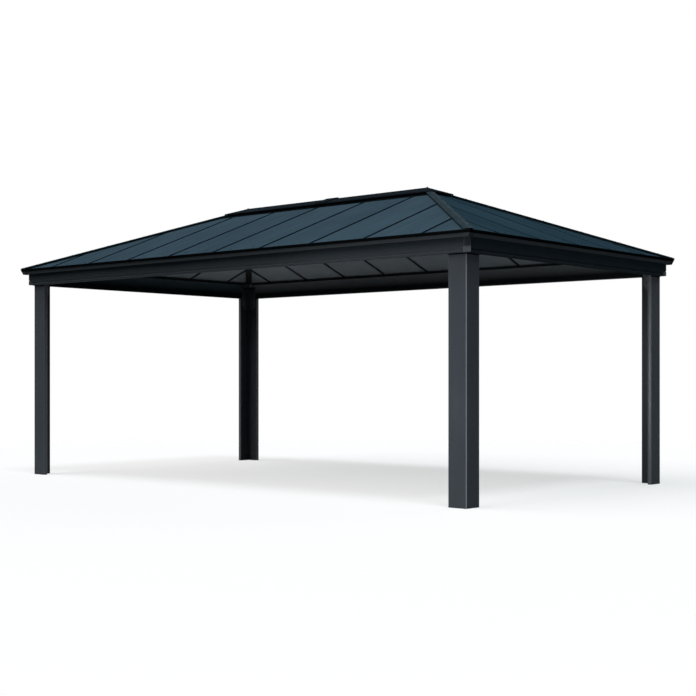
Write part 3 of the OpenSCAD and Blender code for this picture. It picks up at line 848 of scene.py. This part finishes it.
def fixScrews(setup, screw):
    onHips = {corner: [] for corner in corners}
    for index, side in enumerate(sides):
        onHips[corners[index]] += screwHip(setup, screw, index, 1)
        onHips[corners[index - 1]] += screwHip(setup, screw, index, -1)
        onSeams = screwSeams(setup, screw, index)
        onPanels = screwPanels(setup, screw, index)
        finishPiece(onSeams, "seam_screws_" + side, setup["seamTones"][index % 2])
        finishPiece(onPanels, "panel_screws_" + side, setup["panelTones"][index % 2])
    for corner, parts in onHips.items():
        finishPiece(parts, "hip_screws_" + corner, hipPaint)
    finishPiece(screwRidge(setup, screw), "ridge_screws", capPaint)


makeNoses(noseSetup)
makePostCaps(capSetup)
print("post noses and top plates")
boltModel = makeBolt(boltSetup)
makeBrackets(bracketSetup, boltModel)
dropModel(boltModel)
makeClosers(closerSetup)
print("corner brackets and closing strips")
screwModel = makeScrew(screwSetup)
fixScrews(fixSetup, screwModel)
dropModel(screwModel)
print("roof screws")


# floor, light and camera

# 1 for what the camera sees, straight, mirrored or through glass, and 0 for light that bounces
def seenRays(tree, x, y):
    path = putNode(tree, "ShaderNodeLightPath", (x, y)).outputs
    seen = mathNode(tree, "MAXIMUM", (x + 250, y), path["Is Camera Ray"], path["Is Glossy Ray"])
    return mathNode(tree, "MAXIMUM", (x + 450, y), seen, path["Is Transmission Ray"])


def mixShaders(tree, at, factor, first, second):
    node = putNode(tree, "ShaderNodeMixShader", at, {0: factor, 1: first, 2: second})
    return node.outputs[0]


# white paper to the camera, which keeps the shadow; to the object it bounces less
stageSetup = {
    "floorSides": 96, "floorRadius": 13.0, "fadeFrom": 6.5, "fadeTo": 9.5, "roughness": 0.9,
    "bounceTone": (0.235, 0.245, 0.255, 1), "shownTone": (0.9, 0.9, 0.9, 1), "glow": 0.6,
}


def makeFloor(setup):
    deselect()
    bpy.ops.mesh.primitive_circle_add(
        vertices=setup["floorSides"], radius=setup["floorRadius"], fill_type="NGON")
    floor = bpy.context.object
    floor.name = "floor"
    material, tree, shader = newMaterial("floorPaper")
    shader.inputs["Base Color"].default_value = setup["bounceTone"]
    shader.inputs["Roughness"].default_value = setup["roughness"]
    shader.inputs["Specular IOR Level"].default_value = 0.0
    paper = putNode(tree, "ShaderNodeBsdfDiffuse", (600, 400), {"Color": setup["shownTone"]}).outputs[0]
    white = putNode(tree, "ShaderNodeEmission", (600, 250), {"Strength": 1.0}).outputs[0]
    shown = mixShaders(tree, (900, 350), setup["glow"], paper, white)
    seen = seenRays(tree, 300, 700)
    surface = mixShaders(tree, (1200, 300), seen, shader.outputs[0], shown)
    place = putNode(tree, "ShaderNodeTexCoord", (0, -300)).outputs["Object"]
    reach = putNode(tree, "ShaderNodeVectorMath", (200, -300), {0: place}, operation="LENGTH")
    fade = rampRange(
        tree, (450, -300), reach.outputs["Value"], setup["fadeFrom"], setup["fadeTo"])
    clear = putNode(tree, "ShaderNodeBsdfTransparent", (1200, -200)).outputs[0]
    blend = mixShaders(tree, (1450, 0), fade, surface, clear)
    out = tree.nodes["Material Output"]
    out.location = (1700, 0)
    tree.links.new(blend, out.inputs["Surface"])
    floor.data.materials.append(material)


# white behind the object, and a weak pale blue light from all round
worldSetup = {"ambient": 0.06, "tone": (0.82, 0.94, 1.0, 1)}


def makeWorld(setup):
    world = bpy.data.worlds.new("studio")
    scene.world = world
    world.use_nodes = True
    tree = world.node_tree
    shown = tree.nodes["Background"]
    shown.inputs["Color"].default_value = (1, 1, 1, 1)
    shown.inputs["Strength"].default_value = 1.0
    soft = putNode(
        tree, "ShaderNodeBackground", (0, -200),
        {"Color": setup["tone"], "Strength": setup["ambient"]})
    seen = seenRays(tree, -400, 300)
    blend = mixShaders(tree, (300, 0), seen, soft.outputs[0], shown.outputs[0])
    tree.links.new(blend, tree.nodes["World Output"].inputs["Surface"])


# soft suns from high up, from the front and from behind
sunSetup = {
    "keySoft": {"from": (-0.36, -0.44, 0.82), "power": 2.05, "spread": 60, "tone": (1.0, 0.985, 0.96)},
    "fillSoft": {"from": (0.34, -0.18, 0.92), "power": 1.35, "spread": 18, "tone": (0.82, 0.94, 1.0)},
    "frontSoft": {"from": (-0.15, -0.80, 0.58), "power": 0.25, "spread": 12, "tone": (1.0, 1.0, 1.0)},
    "backSoft": {"from": (0.0, 0.88, 0.47), "power": 0.7, "spread": 50, "tone": (0.95, 0.98, 1.0)},
}
sunAway = 12.0

# a panel in front that lights the near posts most, and a small one that shines under the beams on
# the far right post
panelSetup = {
    "frontPanel": {
        "at": (3.2, -14.0, 1.7), "aim": (2.94, 0.0, 1.05), "size": (3.0, 2.4),
        "power": 13, "spread": 26},
    "postStrip": {
        "at": (-4.0, -14.0, 0.9), "aim": (2.94, 1.5, 1.1), "size": (0.6, 0.6),
        "power": 2.5, "spread": 10},
}


def addLamp(name, kind, power, at, back):
    light = bpy.data.lights.new(name, kind)
    light.energy = power
    lamp = bpy.data.objects.new(name, light)
    scene.collection.objects.link(lamp)
    lamp.location = at
    lamp.rotation_euler = back.to_track_quat("Z", "Y").to_euler()
    return light


def makeSuns(setup):
    for name, look in setup.items():
        back = Vector(look["from"])
        light = addLamp(name, "SUN", look["power"], sunAway * back, back)
        light.angle = math.radians(look["spread"])
        light.color = look["tone"]


def makePanelLamps(setup):
    for name, look in setup.items():
        at = Vector(look["at"])
        light = addLamp(name, "AREA", look["power"], at, at - Vector(look["aim"]))
        light.shape = "RECTANGLE"
        light.size, light.size_y = look["size"]
        light.spread = math.radians(look["spread"])


# the camera as fitted to the photo, level and with its picture shifted up a little
cameraSetup = {
    "at": (9.1541, -10.3578, 1.0774), "turn": 0.7118, "lens": 67.31, "sensor": 36, "shiftY": 0.0419,
}


def makeCamera(setup):
    lens = bpy.data.cameras.new("photoView")
    lens.sensor_width = setup["sensor"]
    lens.lens = setup["lens"]
    lens.shift_y = setup["shiftY"]
    camera = bpy.data.objects.new("photoView", lens)
    scene.collection.objects.link(camera)
    camera.location = setup["at"]
    camera.rotation_euler = (math.radians(90), 0, setup["turn"])
    scene.camera = camera


makeFloor(stageSetup)
makeWorld(worldSetup)
makeSuns(sunSetup)
makePanelLamps(panelSetup)
makeCamera(cameraSetup)
print("floor, light and camera")
